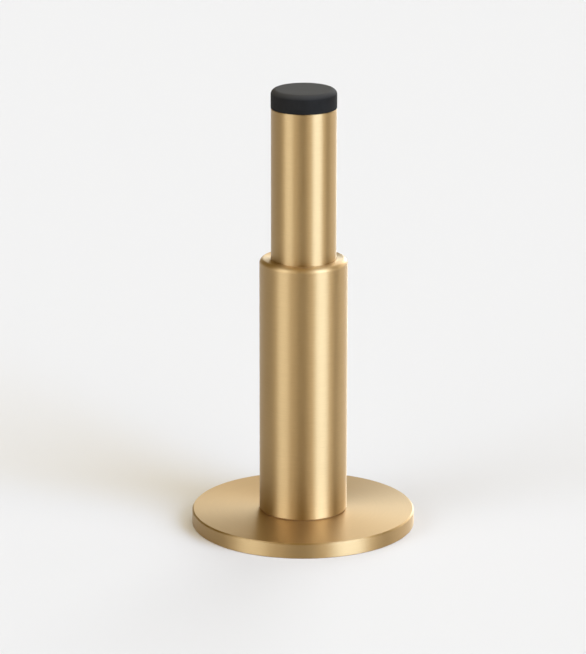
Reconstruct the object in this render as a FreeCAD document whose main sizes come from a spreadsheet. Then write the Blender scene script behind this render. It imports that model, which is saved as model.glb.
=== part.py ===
"""Floor door stop in satin brass with a rubber cap, 100 mm tall on a 50 mm disc.

The disc lies on the floor. The sleeve stands on it. The post goes down through the sleeve, its
shoulder rests in a seat in the sleeve's lip, and its threaded end screws into the disc, so that
it clamps the sleeve. The rubber cap's barbed stem snaps into the top of the post. A tapped hole
in the post's lower end takes the stud that stands in the floor.

Lengths are in millimetres. The origin is the centre of the underside and +Z points up.
"""
import FreeCAD, Part

import math
import os

import Sketcher

# Alias, value and meaning of each driving size.
SIZES = [
    ("disc_diameter", 50.0, "outside of the disc"),
    ("disc_thickness", 3.5, "underside to top face of the disc"),
    ("disc_rim_ease", 0.3, "chamfer on the disc's upper rim"),
    ("disc_foot_ease", 0.2, "chamfer on the disc's lower rim"),
    ("sleeve_length", 58.2, "disc to lip of the sleeve"),
    ("sleeve_wall", 2.5, "wall of the sleeve round the post's seat"),
    ("lip_round", 1.0, "round on the sleeve's lip"),
    ("sleeve_foot_ease", 0.3, "chamfer on the sleeve's foot"),
    ("seat_depth", 1.2, "depth of the post's seat in the sleeve's lip"),
    ("seat_play", 0.05, "gap between the post and the wall of its seat"),
    ("post_diameter", 14.5, "outside of the shown part of the post"),
    ("post_shown", 34.1, "sleeve's lip to the rubber cap"),
    ("post_rim_ease", 0.15, "chamfer on the post's top rim"),
    ("shoulder_width", 1.25, "step from the post in to its shank"),
    ("shoulder_ease", 0.3, "chamfer on the lower corner of the shoulder"),
    ("bore_play", 0.1, "gap between the shank and the sleeve's bore"),
    ("thread_flank", 0.33, "shank's surface to the middle of its thread's flanks"),
    ("thread_play", 0.05, "gap between the mating flanks"),
    ("relief_length", 1.5, "length of the groove where the thread runs out"),
    ("relief_depth", 0.9, "depth of that groove below the shank"),
    ("end_recess", 0.4, "underside of the disc up to the post's end"),
    ("end_chamfer", 0.5, "chamfer on the post's threaded end"),
    ("fixing_drill", 6.8, "tapping drill for the floor stud"),
    ("fixing_depth", 22.0, "full depth of the tapped hole"),
    ("fixing_mouth", 8.6, "widest part of the hole's countersink"),
    ("fixing_point", 118.0, "degrees, the drill's point"),
    ("cap_height", 4.2, "height of the rubber cap above the post"),
    ("cap_overhang", 0.05, "how far the cap stands out past the post"),
    ("cap_round", 1.2, "round on the cap's upper rim"),
    ("stem_diameter", 6.4, "neck of the cap's stem"),
    ("stem_play", 0.1, "gap round the stem and its barb"),
    ("neck_length", 4.5, "post's top face down to the undercut"),
    ("barb_step", 0.7, "how far the barb stands out from the stem"),
    ("barb_length", 2.6, "length of the barb"),
    ("barb_taper", 1.1, "how much narrower in radius the barb's tip is"),
]

POST_RADIUS = "Sizes.post_diameter / 2"
SHANK_RADIUS = f"{POST_RADIUS} - Sizes.shoulder_width"
THREAD_RADIUS = f"{SHANK_RADIUS} - Sizes.thread_flank"
RELIEF_RADIUS = f"{SHANK_RADIUS} - Sizes.relief_depth"
SLEEVE_BORE_RADIUS = f"{SHANK_RADIUS} + Sizes.bore_play"
SEAT_RADIUS = f"{POST_RADIUS} + Sizes.seat_play"
SLEEVE_RADIUS = f"{SEAT_RADIUS} + Sizes.sleeve_wall"
CAP_RADIUS = f"{POST_RADIUS} + Sizes.cap_overhang"
STEM_RADIUS = "Sizes.stem_diameter / 2"
BARB_RADIUS = f"{STEM_RADIUS} + Sizes.barb_step"
POST_TOP = "Sizes.disc_thickness + Sizes.sleeve_length + Sizes.post_shown"


def write_sizes(doc):
    """Put the driving sizes into the document's sheet: name, value with its alias, meaning."""
    sheet = doc.addObject("Spreadsheet::Sheet", "Sizes")
    for row, (alias, value, meaning) in enumerate(SIZES, start=1):
        sheet.set(f"A{row}", alias)
        sheet.set(f"B{row}", str(value))
        sheet.setAlias(f"B{row}", alias)
        sheet.set(f"C{row}", meaning)
    doc.recompute()


def new_body(doc, label, height):
    """Start a sub-part whose own zero stands at the given height above the floor."""
    body = doc.addObject("PartDesign::Body", label)
    body.Label = label
    body.setExpression("Placement.Base.z", height)
    return body


def attach(body, sketch, role):
    """Lay a sketch on one of the body's own origin planes."""
    plane = next(item for item in body.Origin.OriginFeatures if item.Role == role)
    sketch.AttachmentSupport = [(plane, "")]
    sketch.MapMode = "FlatFace"


def bind(sketch, constraint, name, expression):
    """Add a dimension to a sketch and bind it to an expression on the sheet."""
    index = sketch.addConstraint(constraint)
    sketch.renameConstraint(index, name)
    sketch.setExpression(f"Constraints.{name}", expression)


def half_profile(body, name, corners):
    """Draw one half of a turned piece's section, beside the axis.

    Each corner is a pair of expressions, its radius and its height. A corner that shares its
    radius or its height with the one before it is tied to it by a vertical or horizontal line,
    and every other radius and height has a dimension of its own from the sketch's origin.
    """
    sketch = body.newObject("Sketcher::SketchObject", name)
    attach(body, sketch, "XZ_Plane")
    points = []
    for radius, height in corners:
        points.append(FreeCAD.Vector(sketch.evalExpression(radius), sketch.evalExpression(height), 0))
    for start, end in zip(points, points[1:] + points[:1]):
        sketch.addGeometry(Part.LineSegment(start, end), False)
    count = len(corners)
    for line in range(count):
        sketch.addConstraint(Sketcher.Constraint("Coincident", line, 2, (line + 1) % count, 1))
    for line, (radius, height) in enumerate(corners):
        before = corners[line - 1] if line else (None, None)
        if radius == before[0]:
            sketch.addConstraint(Sketcher.Constraint("Vertical", line - 1))
        elif radius == "0":
            sketch.addConstraint(Sketcher.Constraint("PointOnObject", line, 1, -2))
        else:
            across = Sketcher.Constraint("DistanceX", -1, 1, line, 1, points[line].x)
            bind(sketch, across, f"radius_{line}", radius)
        if height == before[1]:
            sketch.addConstraint(Sketcher.Constraint("Horizontal", line - 1))
        elif height == "0":
            sketch.addConstraint(Sketcher.Constraint("PointOnObject", line, 1, -1))
        else:
            up = Sketcher.Constraint("DistanceY", -1, 1, line, 1, points[line].y)
            bind(sketch, up, f"height_{line}", height)
    return sketch


def turn(body, name, corners):
    """Turn a piece about its own axis from the half profile given by its corners."""
    sketch = half_profile(body, f"{name}_section", corners)
    turned = body.newObject("PartDesign::Revolution", f"{name}_turned")
    turned.Profile = sketch
    turned.ReferenceAxis = (sketch, ["V_Axis"])
    turned.Angle = 360
    sketch.Visibility = False
    body.Document.recompute()
    return turned


def circle_on(body, name, radius, height):
    """Draw a circle about the axis, on a level plane at the given height."""
    sketch = body.newObject("Sketcher::SketchObject", name)
    attach(body, sketch, "XY_Plane")
    sketch.setExpression("AttachmentOffset.Base.z", height)
    start_radius = sketch.evalExpression(radius)
    circle = Part.Circle(FreeCAD.Vector(0, 0, 0), FreeCAD.Vector(0, 0, 1), start_radius)
    sketch.addGeometry(circle, False)
    sketch.addConstraint(Sketcher.Constraint("Coincident", 0, 3, -1, 1))
    bind(sketch, Sketcher.Constraint("Radius", 0, start_radius), "radius", radius)
    return sketch


def ring(feature, radius, height):
    """Name the round edge of a feature that has this radius and lies at this height."""
    wanted_radius = feature.evalExpression(radius)
    wanted_height = feature.evalExpression(height)
    for number, edge in enumerate(feature.Shape.Edges, start=1):
        if not isinstance(edge.Curve, Part.Circle):
            continue
        same_radius = math.isclose(edge.Curve.Radius, wanted_radius, abs_tol=1e-5)
        same_height = math.isclose(edge.Curve.Center.z, wanted_height, abs_tol=1e-5)
        if same_radius and same_height:
            return f"Edge{number}"
    raise ValueError(f"{feature.Name} has no round edge at radius {radius}, height {height}")


def soften(body, kind, name, corner, size):
    """Put a fillet or a chamfer of the given size on one round edge of the body."""
    before = body.Tip
    feature = body.newObject(f"PartDesign::{kind}", name)
    feature.Base = (before, [ring(before, *corner)])
    feature.setExpression("Radius" if kind == "Fillet" else "Size", size)
    before.Visibility = False
    body.Document.recompute()


def make_base_disc(doc):
    """The disc: a round plate, tapped through its centre, with an eased rim."""
    body = new_body(doc, "base_disc", "0")
    plate = body.newObject("PartDesign::Pad", "disc_plate")
    plate.Profile = circle_on(body, "disc_outline", "Sizes.disc_diameter / 2", "0")
    plate.setExpression("Length", "Sizes.disc_thickness")
    doc.recompute()

    centre = circle_on(body, "disc_centre", f"{THREAD_RADIUS} + Sizes.thread_play", "0")
    tapped = body.newObject("PartDesign::Hole", "disc_tapped_hole")
    tapped.Profile = centre
    doc.recompute()
    tapped.Threaded = False
    tapped.DepthType = "ThroughAll"
    tapped.Reversed = True
    tapped.setExpression("Diameter", f"2 * ({THREAD_RADIUS} + Sizes.thread_play)")
    doc.recompute()

    rim = ("Sizes.disc_diameter / 2", "Sizes.disc_thickness")
    soften(body, "Chamfer", "disc_rim_ease", rim, "Sizes.disc_rim_ease")
    foot = ("Sizes.disc_diameter / 2", "0")
    soften(body, "Chamfer", "disc_foot_ease", foot, "Sizes.disc_foot_ease")
    return body


def make_sleeve(doc):
    """The sleeve: a tube on the disc, with the post's seat in its rounded lip."""
    body = new_body(doc, "sleeve", "Sizes.disc_thickness")
    lip = "Sizes.sleeve_length"
    seat = f"{lip} - Sizes.seat_depth"
    turn(
        body,
        "sleeve",
        [
            (SLEEVE_BORE_RADIUS, "0"),
            (SLEEVE_RADIUS, "0"),
            (SLEEVE_RADIUS, lip),
            (SEAT_RADIUS, lip),
            (SEAT_RADIUS, seat),
            (SLEEVE_BORE_RADIUS, seat),
        ],
    )
    soften(body, "Fillet", "sleeve_lip_round", (SLEEVE_RADIUS, lip), "Sizes.lip_round")
    soften(body, "Chamfer", "sleeve_foot_ease", (SLEEVE_RADIUS, "0"), "Sizes.sleeve_foot_ease")
    return body


def make_post(doc):
    """The post: threaded end, relief, shank, shoulder, shown length and undercut bore."""
    body = new_body(doc, "post", "Sizes.end_recess")
    thread_end = "Sizes.disc_thickness - Sizes.end_recess"
    shank_start = f"{thread_end} + Sizes.relief_length"
    shoulder = f"{thread_end} + Sizes.sleeve_length - Sizes.seat_depth"
    top = f"{POST_TOP} - Sizes.end_recess"
    bore_radius = f"{STEM_RADIUS} + Sizes.stem_play"
    undercut_radius = f"{BARB_RADIUS} + Sizes.stem_play"
    undercut_top = f"{top} - Sizes.neck_length"
    undercut_floor = f"{undercut_top} - Sizes.barb_length - 2 * Sizes.stem_play"
    turn(
        body,
        "post",
        [
            ("0", "0"),
            (THREAD_RADIUS, "0"),
            (THREAD_RADIUS, thread_end),
            (RELIEF_RADIUS, thread_end),
            (RELIEF_RADIUS, shank_start),
            (SHANK_RADIUS, shank_start),
            (SHANK_RADIUS, shoulder),
            (POST_RADIUS, shoulder),
            (POST_RADIUS, top),
            (bore_radius, top),
            (bore_radius, undercut_top),
            (undercut_radius, undercut_top),
            (undercut_radius, undercut_floor),
            ("0", undercut_floor),
        ],
    )
    soften(body, "Chamfer", "post_end_chamfer", (THREAD_RADIUS, "0"), "Sizes.end_chamfer")
    soften(body, "Chamfer", "post_shoulder_ease", (POST_RADIUS, shoulder), "Sizes.shoulder_ease")
    soften(body, "Chamfer", "post_rim_ease", (POST_RADIUS, top), "Sizes.post_rim_ease")

    mouth = circle_on(body, "fixing_mouth", "Sizes.fixing_drill / 2", "0")
    fixing = body.newObject("PartDesign::Hole", "post_fixing_hole")
    fixing.Profile = mouth
    doc.recompute()
    fixing.Threaded = False
    fixing.DepthType = "Dimension"
    fixing.Reversed = True
    fixing.setExpression("Diameter", "Sizes.fixing_drill")
    fixing.setExpression("Depth", "Sizes.fixing_depth")
    fixing.DrillPoint = "Angled"
    fixing.setExpression("DrillPointAngle", "Sizes.fixing_point")
    fixing.HoleCutType = "Countersink"
    fixing.HoleCutCustomValues = True
    fixing.setExpression("HoleCutDiameter", "Sizes.fixing_mouth")
    doc.recompute()
    return body


def make_rubber_cap(doc):
    """The cap: a round-edged head on the post, with a stem and barb inside it."""
    body = new_body(doc, "rubber_cap", POST_TOP)
    barb_top = "-Sizes.neck_length - Sizes.stem_play"
    barb_tip = f"{barb_top} - Sizes.barb_length"
    turn(
        body,
        "cap",
        [
            ("0", "Sizes.cap_height"),
            ("0", barb_tip),
            (f"{BARB_RADIUS} - Sizes.barb_taper", barb_tip),
            (BARB_RADIUS, barb_top),
            (STEM_RADIUS, barb_top),
            (STEM_RADIUS, "0"),
            (CAP_RADIUS, "0"),
            (CAP_RADIUS, "Sizes.cap_height"),
        ],
    )
    soften(body, "Fillet", "cap_rim_round", (CAP_RADIUS, "Sizes.cap_height"), "Sizes.cap_round")
    return body


def check(doc, bodies):
    """Stop if any object failed, or a sub-part is not one valid solid."""
    for item in doc.Objects:
        if "Invalid" in item.State or "Error" in item.State:
            raise RuntimeError(f"{item.Name} did not build: {item.State}")
    for body in bodies:
        shape = body.Shape
        if shape.isNull() or not shape.isValid() or len(shape.Solids) != 1:
            raise RuntimeError(f"{body.Label} is not one valid solid")


def main():
    """Build the door stop and write one STEP file for each sub-part."""
    doc = FreeCAD.newDocument("door_stop")
    write_sizes(doc)
    bodies = [make_base_disc(doc), make_sleeve(doc), make_post(doc), make_rubber_cap(doc)]
    doc.recompute()
    check(doc, bodies)
    os.makedirs("parts", exist_ok=True)
    for body in bodies:
        body.Shape.exportStep(os.path.join("parts", f"{body.Label}.step"))
        box = body.Shape.BoundBox
        print(f"{body.Label}: {body.Shape.Volume:.1f} mm3, z {box.ZMin:.3f} to {box.ZMax:.3f}")


main()
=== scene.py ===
"""Floor door stop in satin brass with a rubber cap: its pieces, its finishes and its studio."""
import logging
import math
from dataclasses import dataclass
from enum import Enum

import bpy
import numpy as np
from mathutils import Matrix, Vector


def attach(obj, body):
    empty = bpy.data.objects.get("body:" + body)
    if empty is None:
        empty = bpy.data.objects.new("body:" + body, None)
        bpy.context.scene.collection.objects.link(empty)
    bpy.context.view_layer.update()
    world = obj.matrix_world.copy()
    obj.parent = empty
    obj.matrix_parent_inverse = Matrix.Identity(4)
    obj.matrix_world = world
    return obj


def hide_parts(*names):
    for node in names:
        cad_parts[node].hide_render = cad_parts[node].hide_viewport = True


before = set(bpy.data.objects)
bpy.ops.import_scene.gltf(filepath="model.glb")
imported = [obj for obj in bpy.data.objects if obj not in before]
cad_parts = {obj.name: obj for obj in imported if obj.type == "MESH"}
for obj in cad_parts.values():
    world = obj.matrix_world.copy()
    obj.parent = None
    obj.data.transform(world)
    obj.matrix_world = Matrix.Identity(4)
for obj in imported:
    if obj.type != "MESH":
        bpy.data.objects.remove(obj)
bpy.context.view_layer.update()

LOG = logging.getLogger("door_stop")

MM = 0.001
BODY = "root"

Socket = bpy.types.NodeSocket
Value = float | Socket
Pair = tuple[float, float]
Triple = tuple[float, float, float]


class Slot(Enum):
    """The record's material slots."""

    BRASS = "satin_brass"
    RUBBER = "black_rubber"


# The turned forms


@dataclass(frozen=True)
class Corner:
    """One corner of a half section: its place and round in mm, the steps of that round and the
    rows that the line after it is cut into.
    """

    radius: float
    height: float
    round: float = 0.0
    steps: int = 5
    rows: int = 1


@dataclass(frozen=True)
class Thread:
    """A screw thread: its wall's radius, pitch, ends, least and most offsets and fade, in mm."""

    wall: float
    pitch: float
    low: float
    high: float
    near: float
    far: float
    fade: float
    ridge_slope: float = 1.4
    ridge_cut: float = 0.2
    upright: float = 0.99

    def offset(self, angle: np.ndarray, height: np.ndarray) -> np.ndarray:
        """Give how far the thread moves the wall out.

        The phase is the height in pitches less the angle in turns. The ridge is a triangle wave
        of that phase from 0 to 1, times its slope and less its cut, with what goes past 0 or 1
        cut flat, and runs from the near offset to the far one. A ramp as long as the fade
        brings it in at each end of the thread.

        Args:
            angle: turn about the axis, in radians.
            height: height above the floor, in mm.

        Returns:
            The offset at each point, in mm.
        """
        phase = (height / self.pitch - angle / (2 * math.pi)) % 1.0
        wave = 1.0 - np.abs(2.0 * phase - 1.0)
        ridge = np.clip(wave * self.ridge_slope - self.ridge_cut, 0.0, 1.0)
        ends = np.minimum(height - self.low, self.high - height)
        return (self.near + (self.far - self.near) * ridge) * np.clip(ends / self.fade, 0.0, 1.0)

    def covers(self, points: np.ndarray, normals: np.ndarray) -> np.ndarray:
        """Say which points of a section are on the thread's wall, between its ends.

        Args:
            points: radius and height of each point, in mm.
            normals: the outward normal at each point.

        Returns:
            True for each point that the thread moves.
        """
        inside = (points[:, 1] > self.low) & (points[:, 1] < self.high)
        on_wall = np.isclose(points[:, 0], self.wall) & (np.abs(normals[:, 0]) > self.upright)
        return inside & on_wall


class Section:
    """Half the section of a turned piece, as points with outward normals."""

    def __init__(self, corners: list[Corner], closed: bool) -> None:
        """Round the corners and keep the points of the outline.

        Each corner gives its arc, and the line after it is cut evenly into the corner's rows.

        Args:
            corners: the corners in order, with the solid on the left of the way along them.
            closed: True for a tube, whose outline comes back to its first corner.
        """
        self.closed = closed
        count = len(corners)
        arcs = []
        for index, corner in enumerate(corners):
            before = corners[index - 1] if index or closed else None
            after = corners[(index + 1) % count] if index < count - 1 or closed else None
            into, out = self._way(before, corner), self._way(corner, after)
            into = out if into is None else into
            arcs.append(self._arc(corner, into, into if out is None else out))
        points, normals = [], []
        for index, corner in enumerate(corners):
            points.append(arcs[index][0])
            normals.append(arcs[index][1])
            if corner.rows > 1:
                start, end = arcs[index][0][-1], arcs[(index + 1) % count][0][0]
                share = np.arange(1, corner.rows)[:, None] / corner.rows
                points.append(start + share * (end - start))
                normals.append(np.repeat(arcs[index][1][-1:], corner.rows - 1, axis=0))
        self.points = np.concatenate(points)
        self.normals = np.concatenate(normals)

    @staticmethod
    def _way(start: Corner | None, end: Corner | None) -> np.ndarray | None:
        """Give the unit direction from one corner to the next.

        Args:
            start: the first corner, or None before an open end.
            end: the second corner, or None past an open end.

        Returns:
            The direction, or None where a corner is missing.
        """
        if start is None or end is None:
            return None
        step = np.array([end.radius - start.radius, end.height - start.height])
        return step / np.linalg.norm(step)

    @staticmethod
    def _arc(corner: Corner, into: np.ndarray, out: np.ndarray) -> tuple[np.ndarray, np.ndarray]:
        """Replace a corner by the arc that touches both of its lines.

        The arc starts the round times the tangent of half the turn before the corner. Its normal
        turns evenly from the first line's to the second's, and each point lies the round along
        that normal from the arc's centre, or the round against it where the corner is hollow.

        Args:
            corner: the corner, with its round and its number of steps.
            into: the unit direction of the line that reaches it.
            out: the unit direction of the line that leaves it.

        Returns:
            The arc's points and their outward normals, one row each.
        """
        here = np.array([corner.radius, corner.height])
        first = np.array([into[1], -into[0]])
        if corner.round <= 0.0:
            return here[None], first[None]
        turn = math.atan2(into[0] * out[1] - into[1] * out[0], float(into @ out))
        reach = math.copysign(corner.round, turn)
        centre = here - into * corner.round * math.tan(abs(turn) / 2) - reach * first
        share = np.linspace(0.0, turn, corner.steps + 1)
        cos, sin = np.cos(share), np.sin(share)
        normals = np.stack([first[0] * cos - first[1] * sin, first[0] * sin + first[1] * cos], 1)
        return centre + reach * normals, normals


@dataclass
class TurnedPiece:
    """A piece made on a lathe or in a round mould, worked out as a surface on a grid.

    Its name, node and slot say what it is. A turn of the grid has as many points as around says,
    and a face counts as level where the upright part of its normal is more than level_from.
    """

    name: str
    node: str
    slot: Slot
    around: int = 192
    level_from: float = 0.9

    def corners(self) -> list[Corner]:
        """Give the corners of the half section, in mm."""
        raise NotImplementedError

    def threads(self) -> list[Thread]:
        """Give the threads that are cut in the piece."""
        return []

    def is_tube(self) -> bool:
        """Say whether the half section is a loop that stays clear of the axis."""
        return False

    def build(self, walls: bpy.types.Material, faces: bpy.types.Material | None = None) -> None:
        """Make the piece, give it its finishes and let it stand for its node.

        Args:
            walls: the finish of the piece.
            faces: the finish of its level faces, where that is another one.
        """
        section = Section(self.corners(), self.is_tube())
        points, normals = self._surface(section)
        mesh = self._mesh(points, normals, section)
        mesh.materials.append(walls)
        if faces is not None:
            mesh.materials.append(faces)
            ways = np.empty(3 * len(mesh.polygons), np.float32)
            mesh.polygons.foreach_get("normal", ways)
            level = np.abs(ways[2::3]) > self.level_from
            mesh.polygons.foreach_set("material_index", level.astype(np.int32))
        piece = bpy.data.objects.new(self.name, mesh)
        bpy.context.scene.collection.objects.link(piece)
        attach(piece, BODY)
        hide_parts(self.node)
        LOG.info("%s: %d faces, %s", self.name, len(mesh.polygons), self.slot.value)

    def _surface(self, section: Section) -> tuple[np.ndarray, np.ndarray]:
        """Carry the half section round the axis.

        The point at section step i and turn j is (r cos a, r sin a, z), where r and z are the
        section's, moved out by any thread there, and a is j parts of a full turn. The normals
        turn with it. A thread's own points get none, so that Blender works theirs out.

        Args:
            section: the half section.

        Returns:
            The grid of points in metres, and the grid of normals.
        """
        angle = np.arange(self.around) * (2 * math.pi / self.around)
        radius = np.repeat(section.points[:, :1], self.around, axis=1)
        height = np.repeat(section.points[:, 1:], self.around, axis=1)
        across = np.where(section.points[:, :1] > 0.0, section.normals[:, :1], 0.0)
        up = np.repeat(section.normals[:, 1:], self.around, axis=1)
        normals = np.stack([across * np.cos(angle), across * np.sin(angle), up], axis=2)
        for thread in self.threads():
            cut = thread.covers(section.points, section.normals)
            radius[cut] += thread.offset(angle[None], height[cut])
            normals[cut] = 0.0
        points = np.stack([radius * np.cos(angle), radius * np.sin(angle), height], axis=2)
        return points * MM, normals

    def _mesh(
        self, points: np.ndarray, normals: np.ndarray, section: Section
    ) -> bpy.types.Mesh:
        """Join a grid of points with faces of four sides, and of three next to the axis.

        Args:
            points: the grid of points, one row for each step of the section.
            normals: the normal at each point, or zeros where Blender is to work it out.
            section: the half section, which says where the grid closes.

        Returns:
            The closed mesh.
        """
        on_axis = section.points[:, 0] <= 0.0
        index = np.arange(points.shape[0] * self.around).reshape(-1, self.around)
        index[on_axis] = index[on_axis, :1]
        kept, packed = np.unique(index, return_inverse=True)
        index = packed.reshape(-1, self.around)
        after, after_axis = np.roll(index, -1, axis=0), np.roll(on_axis, -1)
        if not section.closed:
            index, after = index[:-1], after[:-1]
            on_axis, after_axis = on_axis[:-1], after_axis[:-1]
        quads = np.stack([index, np.roll(index, -1, 1), np.roll(after, -1, 1), after], axis=2)
        faces = quads[~on_axis & ~after_axis].reshape(-1, 4).tolist()
        faces += quads[on_axis][:, :, [0, 2, 3]].reshape(-1, 3).tolist()
        faces += quads[after_axis][:, :, [0, 1, 2]].reshape(-1, 3).tolist()
        mesh = bpy.data.meshes.new(self.name)
        mesh.from_pydata(points.reshape(-1, 3)[kept], [], faces)
        mesh.shade_smooth()
        mesh.normals_split_custom_set_from_vertices(normals.reshape(-1, 3)[kept])
        mesh.update()
        return mesh


@dataclass
class BaseDisc(TurnedPiece):
    """The flat round disc that stands on the floor, tapped through its centre for the post."""

    name: str = "base_disc_turned"
    node: str = "base_disc"
    slot: Slot = Slot.BRASS
    around: int = 256
    radius: float = 25.0
    thickness: float = 3.5
    rim_break: float = 0.3
    foot_break: float = 0.2
    edge_round: float = 0.12
    hole_radius: float = 5.72
    thread_pitch: float = 1.0
    thread_depth: float = 0.3
    face_rows: int = 4
    edge_rows: int = 3
    hole_rows: int = 48

    def corners(self) -> list[Corner]:
        """Give the disc's section: underside, edge, top and tapped hole."""
        edge = self.edge_round
        return [
            Corner(self.hole_radius, 0.0, edge, rows=self.face_rows),
            Corner(self.radius - self.foot_break, 0.0, edge),
            Corner(self.radius, self.foot_break, edge, rows=self.edge_rows),
            Corner(self.radius, self.thickness - self.rim_break, edge),
            Corner(self.radius - self.rim_break, self.thickness, edge, rows=self.face_rows),
            Corner(self.hole_radius, self.thickness, edge, rows=self.hole_rows),
        ]

    def threads(self) -> list[Thread]:
        """Give the thread that holds the post's end.

        Returns:
            The one thread.
        """
        depth = self.thread_depth
        wall, top = self.hole_radius, self.thickness
        return [Thread(wall, self.thread_pitch, 0.0, top, -depth, depth, depth)]

    def is_tube(self) -> bool:
        """Say that the disc is pierced."""
        return True


@dataclass
class Sleeve(TurnedPiece):
    """The wide tube on the disc, with a rounded lip and a seat for the post's shoulder.

    Its level_from is so low that the lip's round has the finish of the level faces too.
    """

    name: str = "sleeve_turned"
    node: str = "sleeve"
    slot: Slot = Slot.BRASS
    foot: float = 3.5
    top: float = 61.7
    bore_radius: float = 6.1
    outside_radius: float = 9.8
    seat_radius: float = 7.3
    seat_height: float = 60.5
    lip_round: float = 1.0
    foot_break: float = 0.3
    edge_round: float = 0.06
    lip_steps: int = 14
    wall_rows: int = 10
    level_from: float = 0.04

    def corners(self) -> list[Corner]:
        """Give the sleeve's section: foot, outside, lip, seat and bore."""
        edge, outside = self.edge_round, self.outside_radius
        return [
            Corner(self.bore_radius, self.foot, edge),
            Corner(outside - self.foot_break, self.foot, edge),
            Corner(outside, self.foot + self.foot_break, 2 * edge, rows=self.wall_rows),
            Corner(outside, self.top, self.lip_round, steps=self.lip_steps),
            Corner(self.seat_radius, self.top, edge),
            Corner(self.seat_radius, self.seat_height, edge),
            Corner(self.bore_radius, self.seat_height, edge, rows=self.wall_rows),
        ]

    def is_tube(self) -> bool:
        """Say that the sleeve is a tube."""
        return True


@dataclass
class Post(TurnedPiece):
    """The bar that rises from the sleeve, with its shank, threaded end and both its holes."""

    name: str = "post_turned"
    node: str = "post"
    slot: Slot = Slot.BRASS
    foot: float = 0.4
    top: float = 95.8
    radius: float = 7.25
    rim_break: float = 0.15
    shoulder_height: float = 60.5
    shoulder_break: float = 0.3
    shank_radius: float = 6.0
    shank_foot: float = 5.0
    relief_radius: float = 5.1
    end_radius: float = 5.67
    end_top: float = 3.5
    end_break: float = 0.5
    end_pitch: float = 1.0
    end_depth: float = 0.3
    stud_radius: float = 3.4
    stud_mouth: float = 4.3
    stud_start: float = 1.3
    stud_end: float = 22.4
    stud_point: float = 24.443
    stud_pitch: float = 1.25
    stud_depth: float = 0.6
    neck_radius: float = 3.3
    neck_foot: float = 91.3
    undercut_radius: float = 4.0
    undercut_foot: float = 88.5
    edge_round: float = 0.05
    wall_rows: int = 10
    end_rows: int = 32
    stud_rows: int = 168

    def corners(self) -> list[Corner]:
        """Give the post's section, from the point of the stud's hole round to the cap's hole.

        Returns:
            The section's corners, in order.
        """
        edge = self.edge_round
        eased = self.shoulder_height + self.shoulder_break
        return [
            Corner(0.0, self.stud_point),
            Corner(self.stud_radius, self.stud_end, edge, rows=self.stud_rows),
            Corner(self.stud_radius, self.stud_start, edge),
            Corner(self.stud_mouth, self.foot, edge),
            Corner(self.end_radius - self.end_break, self.foot, edge),
            Corner(self.end_radius, self.foot + self.end_break, edge, rows=self.end_rows),
            Corner(self.end_radius, self.end_top, edge),
            Corner(self.relief_radius, self.end_top, edge),
            Corner(self.relief_radius, self.shank_foot, edge),
            Corner(self.shank_radius, self.shank_foot, edge, rows=self.wall_rows),
            Corner(self.shank_radius, self.shoulder_height, edge),
            Corner(self.radius - self.shoulder_break, self.shoulder_height, edge),
            Corner(self.radius, eased, edge, rows=self.wall_rows),
            Corner(self.radius, self.top - self.rim_break, edge),
            Corner(self.radius - self.rim_break, self.top, edge),
            Corner(self.neck_radius, self.top, edge),
            Corner(self.neck_radius, self.neck_foot, edge),
            Corner(self.undercut_radius, self.neck_foot, edge),
            Corner(self.undercut_radius, self.undercut_foot, edge),
            Corner(0.0, self.undercut_foot),
        ]

    def threads(self) -> list[Thread]:
        """Give the thread in the stud's hole and the one on the post's end.

        Returns:
            Both threads.
        """
        depth, low = self.end_depth, self.foot + self.end_break
        wall, start, end = self.stud_radius, self.stud_start, self.stud_end
        return [
            Thread(wall, self.stud_pitch, start, end, 0.0, self.stud_depth, self.stud_depth),
            Thread(self.end_radius, self.end_pitch, low, self.end_top, -depth, depth, depth),
        ]


@dataclass
class RubberCap(TurnedPiece):
    """The moulded cap that meets the door, with the barbed stem that keeps it in the post."""

    name: str = "rubber_cap_moulded"
    node: str = "rubber_cap"
    slot: Slot = Slot.RUBBER
    radius: float = 7.3
    foot: float = 95.8
    top: float = 100.0
    top_round: float = 1.2
    foot_round: float = 0.12
    stem_radius: float = 3.2
    stem_end: float = 88.6
    barb_height: float = 91.2
    barb_radius: float = 3.9
    barb_end_radius: float = 2.8
    stem_round: float = 0.15
    top_steps: int = 16

    def corners(self) -> list[Corner]:
        """Give the cap's section, from the stem's end up round the barb to the top."""
        soft = self.stem_round
        return [
            Corner(0.0, self.stem_end),
            Corner(self.barb_end_radius, self.stem_end, soft),
            Corner(self.barb_radius, self.barb_height, soft),
            Corner(self.stem_radius, self.barb_height, soft),
            Corner(self.stem_radius, self.foot, soft),
            Corner(self.radius, self.foot, self.foot_round),
            Corner(self.radius, self.top, self.top_round, steps=self.top_steps),
            Corner(0.0, self.top),
        ]


# The finishes


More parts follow.
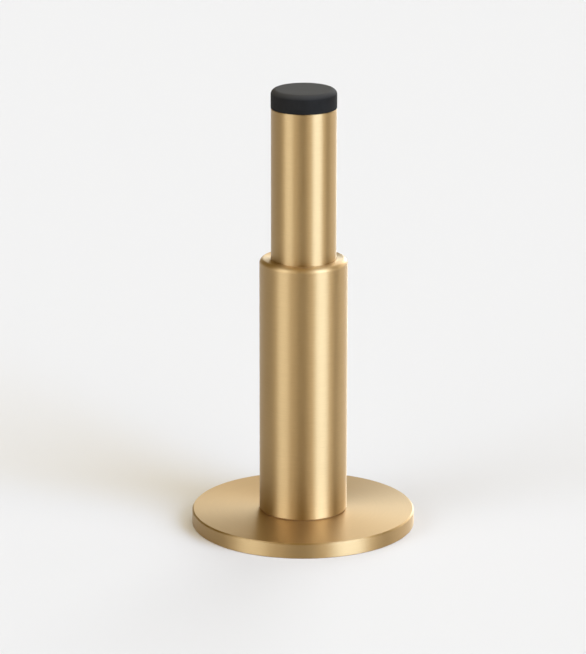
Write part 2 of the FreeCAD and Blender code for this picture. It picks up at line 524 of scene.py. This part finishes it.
class Graph:
    """A node tree being drawn up, with short calls for the nodes that the finishes share."""

    def __init__(self, tree: bpy.types.NodeTree) -> None:
        """Start from an empty tree."""
        self.tree = tree
        tree.nodes.clear()

    def add(
        self, kind: str, inputs: dict[str | int, object] | None = None, **settings: object
    ) -> bpy.types.Node:
        """Add a node, set what it is and fill or link its inputs.

        Args:
            kind: the node's type.
            inputs: value or socket for each input, by name or number.
            settings: the node's own settings.

        Returns:
            The new node.
        """
        node = self.tree.nodes.new(kind)
        for name, value in settings.items():
            setattr(node, name, value)
        for name, value in (inputs or {}).items():
            if isinstance(value, Socket):
                self.tree.links.new(value, node.inputs[name])
            else:
                node.inputs[name].default_value = value
        return node

    def math(self, operation: str, first: Value, second: Value = 0.0) -> Socket:
        """Work out one number from two."""
        inputs = {0: first, 1: second}
        return self.add("ShaderNodeMath", inputs, operation=operation).outputs[0]

    def vector(self, operation: str, first: object, second: object = (0, 0, 0)) -> bpy.types.Node:
        """Work out one vector from two."""
        return self.add("ShaderNodeVectorMath", {0: first, 1: second}, operation=operation)

    def ramp(self, value: Value, start: Pair, end: Pair, smooth: bool = False) -> Socket:
        """Carry a number from one range to another.

        Args:
            value: the number.
            start: the range that it is in.
            end: the range that it is carried to, where it stays.
            smooth: True to ease in and out of both ends.

        Returns:
            The carried number.
        """
        inputs = {0: value, 1: start[0], 2: start[1], 3: end[0], 4: end[1]}
        kind = "SMOOTHSTEP" if smooth else "LINEAR"
        node = self.add("ShaderNodeMapRange", inputs, interpolation_type=kind, clamp=True)
        return node.outputs[0]

    def blend(self, share: Value, first: object, second: object) -> Socket:
        """Mix two colours, or two numbers as greys, with the share that the second one gets."""
        node = self.add("ShaderNodeMix", {0: share, 6: first, 7: second}, data_type="RGBA")
        return node.outputs[2]

    def noise(self, place: Socket, size: float, detail: float, roughness: float = 0.5) -> Socket:
        """Read noise.

        Args:
            place: where it is read.
            size: the size of its largest spots, in the place's own units.
            detail: how many times finer spots are added.
            roughness: how strong the finer spots are, each against the one before.

        Returns:
            The noise, about 0.5 on average.
        """
        inputs = {"Vector": place, "Scale": 1.0 / size, "Detail": detail, "Roughness": roughness}
        return self.add("ShaderNodeTexNoise", inputs).outputs[0]

    def bump(self, height: Socket, depth: float) -> Socket:
        """Turn a height from 0 to 1 into a normal, with the depth in metres that 1 stands for."""
        inputs = {"Strength": 1.0, "Distance": depth, "Height": height}
        return self.add("ShaderNodeBump", inputs).outputs[0]


def colour(value: Triple) -> tuple[float, float, float, float]:
    """Add a full alpha to a colour."""
    return (*value, 1.0)


class Finish:
    """A finish that is drawn up as a material."""

    title: str

    def material(self) -> bpy.types.Material:
        """Make the finish's material.

        Returns:
            The material.
        """
        made = bpy.data.materials.new(self.title)
        made.use_nodes = True
        self.draw(Graph(made.node_tree))
        return made

    def draw(self, graph: Graph) -> None:
        """Add the finish's nodes to an empty tree."""
        raise NotImplementedError


@dataclass(frozen=True)
class SatinBrass(Finish):
    """Brass brushed on the lathe, so that its fine lines run round the axis, under thin lacquer."""

    title: str = "turned_satin_brass"
    light: Triple = (0.535, 0.369, 0.177)
    dark: Triple = (0.475, 0.327, 0.154)
    roughness: float = 0.42
    roughness_swing: float = 0.02
    stretch: float = 1.0
    stretch_turn: float = 0.25
    line_spacing: float = 0.14 * MM
    line_turns: float = 3.0
    line_lean: float = 1.37
    line_detail: float = 3.0
    line_roughness: float = 0.6
    line_depth: float = 0.003 * MM
    cloud_size: float = 9.0 * MM
    cloud_detail: float = 2.0
    cloud_share: float = 0.3
    mixed_range: Pair = (0.3, 0.7)
    lacquer: float = 0.1
    lacquer_roughness: float = 0.3

    def draw(self, graph: Graph) -> None:
        """Add the brass: brush lines in colour, roughness and bump, and a gloss across them.

        The lines are noise read at (cos a, sin a, radius + lean x height), with the first two
        times the line turns and the last in line spacings, so that it changes fast up the walls
        and out over the faces and slowly round the axis. Larger clouds are mixed in, and the
        middle of the mix's range is drawn out to set the colour and the roughness. The shader's
        tangent is (-y, x, 0), the way of the lines, and its gloss is turned a quarter from it.

        Args:
            graph: the material's node tree.
        """
        place = graph.add("ShaderNodeTexCoord").outputs["Object"]
        level = graph.vector("MULTIPLY", place, (1.0, 1.0, 0.0)).outputs[0]
        height = graph.add("ShaderNodeSeparateXYZ", {0: place}).outputs[2]
        radius = graph.vector("LENGTH", level).outputs["Value"]
        way_out = graph.vector("NORMALIZE", level).outputs[0]
        along = graph.vector("CROSS_PRODUCT", (0.0, 0.0, 1.0), way_out).outputs[0]
        line = graph.math("ADD", radius, graph.math("MULTIPLY", height, self.line_lean))
        line = graph.math("DIVIDE", line, self.line_spacing)
        round_part = graph.vector("MULTIPLY", way_out, (self.line_turns, self.line_turns, 0.0))
        line_part = graph.add("ShaderNodeCombineXYZ", {2: line}).outputs[0]
        spot = graph.vector("ADD", round_part.outputs[0], line_part).outputs[0]
        lines = graph.noise(spot, 1.0, self.line_detail, self.line_roughness)
        clouds = graph.noise(place, self.cloud_size, self.cloud_detail)
        mixed = graph.blend(self.cloud_share, lines, clouds)
        share = graph.ramp(mixed, self.mixed_range, (0.0, 1.0))
        least, most = self.roughness - self.roughness_swing, self.roughness + self.roughness_swing
        shader = graph.add(
            "ShaderNodeBsdfPrincipled",
            {
                "Base Color": graph.blend(share, colour(self.dark), colour(self.light)),
                "Metallic": 1.0,
                "Roughness": graph.ramp(mixed, self.mixed_range, (least, most)),
                "Anisotropic": self.stretch,
                "Anisotropic Rotation": self.stretch_turn,
                "Coat Weight": self.lacquer,
                "Coat Roughness": self.lacquer_roughness,
                "Normal": graph.bump(lines, self.line_depth),
                "Tangent": along,
            },
        )
        graph.add("ShaderNodeOutputMaterial", {0: shader.outputs[0]})


@dataclass(frozen=True)
class FacedBrass(SatinBrass):
    """The same brass on the disc's level faces, where its gloss is stretched less."""

    title: str = "faced_satin_brass"
    roughness: float = 0.43
    stretch: float = 0.55


@dataclass(frozen=True)
class EdgeBrass(SatinBrass):
    """The same brass on the sleeve's lip and ends, a little rougher and stretched less."""

    title: str = "edge_satin_brass"
    roughness: float = 0.46
    stretch: float = 0.85


@dataclass(frozen=True)
class BlackRubber(Finish):
    """Moulded rubber: matt charcoal with a fine grain from the mould, its top greyed by painted
    light.
    """

    title: str = "moulded_black_rubber"
    deep: Triple = (0.0035, 0.003, 0.0025)
    dusty: Triple = (0.0065, 0.006, 0.0055)
    # Painted light: a lighter grey painted on the cap's top and its round, in place of light from
    # above.
    painted_top_light: Triple = (0.046, 0.044, 0.041)
    painted_top_heights: Pair = (98.95 * MM, 100.0 * MM)
    roughness: Pair = (0.7, 0.84)
    shine: float = 0.2
    grain_size: float = 0.16 * MM
    grain_detail: float = 3.0
    grain_depth: float = 0.012 * MM
    grain_range: Pair = (0.3, 0.7)
    bloom_size: float = 4.0 * MM
    bloom_detail: float = 4.0
    bloom_range: Pair = (0.35, 0.65)

    def draw(self, graph: Graph) -> None:
        """Add the rubber: a fine grain in bump and roughness, a faint bloom and a painted top
        light.

        Grain and bloom are noise read at the point itself. The bloom takes the colour from deep
        to dusty, and over the cap's last millimetre the height adds a painted light grey on top.

        Args:
            graph: the material's node tree.
        """
        place = graph.add("ShaderNodeTexCoord").outputs["Object"]
        grain = graph.noise(place, self.grain_size, self.grain_detail)
        bloom = graph.noise(place, self.bloom_size, self.bloom_detail)
        share = graph.ramp(bloom, self.bloom_range, (0.0, 1.0), smooth=True)
        height = graph.add("ShaderNodeSeparateXYZ", {0: place}).outputs[2]
        # Painted light: over the last millimetre of height the colour turns lighter grey, standing
        # in for light on the top.
        painted_top_share = graph.ramp(height, self.painted_top_heights, (0.0, 1.0))
        plain = graph.blend(share, colour(self.deep), colour(self.dusty))
        shader = graph.add(
            "ShaderNodeBsdfPrincipled",
            {
                "Base Color": graph.blend(painted_top_share, plain, colour(self.painted_top_light)),
                "Roughness": graph.ramp(grain, self.grain_range, self.roughness),
                "Specular IOR Level": self.shine,
                "Normal": graph.bump(grain, self.grain_depth),
            },
        )
        graph.add("ShaderNodeOutputMaterial", {0: shader.outputs[0]})


@dataclass(frozen=True)
class PaleFloor(Finish):
    """A matt pale floor."""

    title: str = "pale_floor"
    shade: Triple = (0.8, 0.8, 0.8)

    def draw(self, graph: Graph) -> None:
        """Add the plain matt surface."""
        shader = graph.add("ShaderNodeBsdfDiffuse", {"Color": colour(self.shade)})
        graph.add("ShaderNodeOutputMaterial", {0: shader.outputs[0]})


# The studio


@dataclass(frozen=True)
class SoftLight:
    """One far soft light: its middle and reach round the object, its heights and strength.

    Angles are in degrees. The azimuth is counted from the camera's side towards its right. The
    light is full up to the core on each side of its middle and gone at the reach. It comes in
    from the first to the second height, and goes out from the third to the fourth.
    """

    azimuth: float
    core: float
    reach: float
    heights: tuple[float, float, float, float]
    strength: float
    tint: Triple = (1.0, 1.0, 1.0)

    def add(self, graph: Graph, level: Socket, height: Socket) -> Socket:
        """Give this light's part of the world's colour.

        Args:
            graph: the world's node tree.
            level: the level part of the direction, one long.
            height: the direction's height, in degrees above the floor.

        Returns:
            The light in each direction, as a colour.
        """
        turn = math.radians(self.azimuth)
        middle = (math.sin(turn), -math.cos(turn), 0.0)
        side = graph.vector("DOT_PRODUCT", level, middle).outputs["Value"]
        edges = (math.cos(math.radians(self.reach)), math.cos(math.radians(self.core)))
        across = graph.ramp(side, edges, (0.0, 1.0), smooth=True)
        rise = graph.ramp(height, self.heights[:2], (0.0, 1.0), smooth=True)
        fall = graph.ramp(height, self.heights[2:], (1.0, 0.0), smooth=True)
        window = graph.math("MULTIPLY", graph.math("MULTIPLY", across, rise), fall)
        amount = graph.math("MULTIPLY", window, self.strength)
        inputs = {0: self.tint, "Scale": amount}
        return graph.add("ShaderNodeVectorMath", inputs, operation="SCALE").outputs[0]


@dataclass
class Studio:
    """A pale floor in a dim room with soft lights round it, all made in the world."""

    floor_size: float = 12.0
    floor_drop: float = 0.02 * MM
    room: Triple = (0.31, 0.23, 0.08)
    horizon: float = 0.9
    horizon_heights: Pair = (0.5, 3.0)
    lights: tuple[SoftLight, ...] = (
        # Right of the camera, a bright middle and a wide skirt
        SoftLight(50.0, 6.0, 24.0, (-8.0, 4.0, 34.0, 54.0), 5.0, (0.69, 1.0, 1.6)),
        SoftLight(50.0, 4.0, 48.0, (-8.0, 4.0, 34.0, 54.0), 2.48),
        # Left of the camera, the same
        SoftLight(-55.0, 2.0, 22.0, (-8.0, 4.0, 30.0, 48.0), 2.56, (0.83, 1.0, 1.28)),
        SoftLight(-50.0, 4.0, 44.0, (-8.0, 4.0, 30.0, 48.0), 1.7),
        # Overhead
        SoftLight(-10.0, 30.0, 90.0, (46.0, 66.0, 80.0, 92.0), 0.45, (1.25, 1.0, 0.64)),
        # Behind the object, from its right round to the middle
        SoftLight(135.0, 16.0, 46.0, (-8.0, 4.0, 18.0, 32.0), 1.76),
        SoftLight(160.0, 6.0, 24.0, (12.0, 24.0, 50.0, 66.0), 1.94),
        SoftLight(165.0, 4.0, 16.0, (-8.0, -2.0, 12.0, 24.0), 4.58, (0.81, 1.0, 1.14)),
        SoftLight(180.0, 4.0, 16.0, (-8.0, -2.0, 12.0, 24.0), 0.25),
    )

    def build(self) -> None:
        """Lay the floor and hang the lights."""
        self._lay_floor()
        world = bpy.data.worlds.new("studio")
        world.use_nodes = True
        bpy.context.scene.world = world
        self._light(Graph(world.node_tree))

    def _lay_floor(self) -> None:
        """Make the floor, one level square just under the disc."""
        half = self.floor_size / 2
        corners = np.array([[-1.0, -1.0], [1.0, -1.0], [1.0, 1.0], [-1.0, 1.0]]) * half
        points = np.column_stack([corners, np.full(4, -self.floor_drop)])
        mesh = bpy.data.meshes.new("floor")
        mesh.from_pydata(points, [], [(0, 1, 2, 3)])
        mesh.materials.append(PaleFloor().material())
        floor = bpy.data.objects.new("floor", mesh)
        bpy.context.scene.collection.objects.link(floor)

    def _light(self, graph: Graph) -> None:
        """Add up the dim room and the lights, and fade to an even pale shade at the horizon.

        Args:
            graph: the world's node tree.
        """
        way = graph.add("ShaderNodeTexCoord").outputs["Generated"]
        rise = graph.add("ShaderNodeSeparateXYZ", {0: way}).outputs[2]
        rise = graph.math("ARCSINE", graph.math("MINIMUM", rise, 1.0))
        height = graph.math("MULTIPLY", rise, math.degrees(1.0))
        flat = graph.vector("MULTIPLY", way, (1.0, 1.0, 0.0)).outputs[0]
        level = graph.vector("NORMALIZE", flat).outputs[0]
        total = graph.vector("ADD", self.room, (0.0, 0.0, 0.0)).outputs[0]
        for light in self.lights:
            total = graph.vector("ADD", total, light.add(graph, level, height)).outputs[0]
        share = graph.ramp(height, self.horizon_heights, (0.0, 1.0), smooth=True)
        total = graph.blend(share, colour((self.horizon,) * 3), total)
        background = graph.add("ShaderNodeBackground", {0: total, 1: 1.0})
        graph.add("ShaderNodeOutputWorld", {0: background.outputs[0]})


@dataclass
class Camera:
    """The photograph's viewpoint: a long lens a little above the object."""

    lens: float = 205.8
    sensor: float = 36.0
    elevation: float = 15.94
    distance: float = 831.0 * MM
    target: Triple = (0.0, 0.0, 50.0 * MM)
    aim_across: float = -2.32 * MM
    aim_down: float = 4.05 * MM
    roll: float = 0.074
    clip: Pair = (0.05, 50.0)

    def build(self) -> None:
        """Place the camera and aim it beside the object's middle, as in the photograph."""
        data = bpy.data.cameras.new("camera")
        data.lens = self.lens
        data.sensor_width = self.sensor
        data.clip_start, data.clip_end = self.clip
        lift = math.radians(self.elevation)
        back = Vector((0.0, -math.cos(lift), math.sin(lift)))
        up = Vector((0.0, math.sin(lift), math.cos(lift)))
        place = Vector(self.target) + back * self.distance
        aim = Vector(self.target) + Vector((self.aim_across, 0.0, 0.0)) - up * self.aim_down
        turn = (aim - place).to_track_quat("-Z", "Y").to_matrix().to_4x4()
        roll = Matrix.Rotation(math.radians(self.roll), 4, "Z")
        camera = bpy.data.objects.new("camera", data)
        camera.matrix_world = Matrix.Translation(place) @ turn @ roll
        bpy.context.scene.collection.objects.link(camera)
        bpy.context.scene.camera = camera


def main() -> None:
    """Build the door stop, its finishes, the studio and the camera."""
    logging.basicConfig(level=logging.INFO, format="%(message)s")
    bpy.context.scene.view_settings.view_transform = "Standard"
    brass, rubber = SatinBrass().material(), BlackRubber().material()
    BaseDisc().build(brass, FacedBrass().material())
    Sleeve().build(brass, EdgeBrass().material())
    Post().build(brass)
    RubberCap().build(rubber)
    Studio().build()
    Camera().build()


if __name__ == "__main__":
    main()
